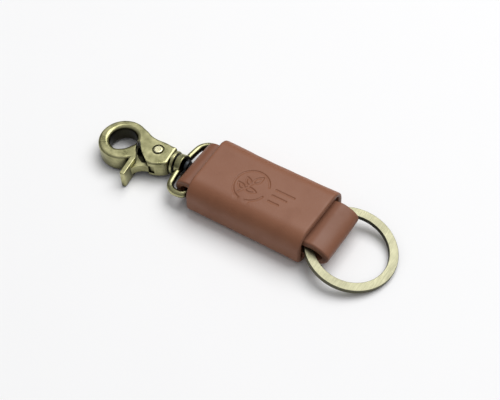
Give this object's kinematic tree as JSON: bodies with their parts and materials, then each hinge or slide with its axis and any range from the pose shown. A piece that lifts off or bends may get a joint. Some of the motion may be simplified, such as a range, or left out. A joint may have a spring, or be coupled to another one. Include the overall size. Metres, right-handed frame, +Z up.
{
  "type": "key fob",
  "caption": "Leather key fob: a strap folded through a leather sleeve, with a split ring in one loop and a swivel trigger hook in the other.",
  "frame": {"origin": "middle of the sleeve's flat underside, which is the surface the fob lies on", "axes": "+X along the fob towards the split ring, +Y across the sleeve, +Z up out of the sleeve's face"},
  "size_m": [0.1071, 0.03, 0.0127],
  "materials": {
    "sleeve_leather": "smooth semi-matt tan brown leather with burnished edges",
    "strap_leather": "smooth semi-matt tan brown leather",
    "core_leather": "raw leather, hidden between the strap's layers",
    "thread": "waxed brown thread",
    "brushed_brass": "brushed pale antique brass plating",
    "antique_brass": "antique brass plating, darkened in the recesses",
    "bright_brass": "polished brass rivet",
    "spring_steel": "bright spring wire",
    "dark_steel": "dark steel, peened"
  },
  "bodies": {
    "fob": {"sleeve": "sleeve_leather", "strap": "strap_leather", "core_pad": "core_leather", "seam_stitches": "thread"},
    "ring": {"split_ring": "brushed_brass"},
    "eye": {"swivel_eye": "antique_brass"},
    "hook": {"hook_body": "antique_brass", "lever_rivet": "bright_brass", "lever_spring": "spring_steel", "swivel_post": "dark_steel"},
    "trigger": {"trigger_lever": "antique_brass"}
  },
  "joints": [
    {"name": "ring_swing", "type": "hinge", "parent": "fob", "child": "ring", "pos_m": [0.0242, 0, 0.0062], "axis": [0, -1, 0], "range_deg": [0, 16]},
    {"name": "eye_swing", "type": "hinge", "parent": "fob", "child": "eye", "pos_m": [-0.02248, -0.00027, 0.00575], "axis": [-0.0175, 0.9998, 0], "range_deg": [-60, 60]},
    {"name": "hook_swivel", "type": "hinge", "parent": "eye", "child": "hook", "pos_m": [-0.0306, -0.00041, 0.00458], "axis": [0.9952, 0.0871, 0.0436], "continuous": true},
    {"name": "trigger_pull", "type": "hinge", "parent": "hook", "child": "trigger", "pos_m": [-0.03899, -0.00074, 0.00423], "axis": [-0.0401, -0.042, 0.9983], "range_deg": [0, 15], "stiffness_Nm_per_rad": 0.03, "springref_deg": -20.05, "deforming": ["lever_spring"]}
  ]
}
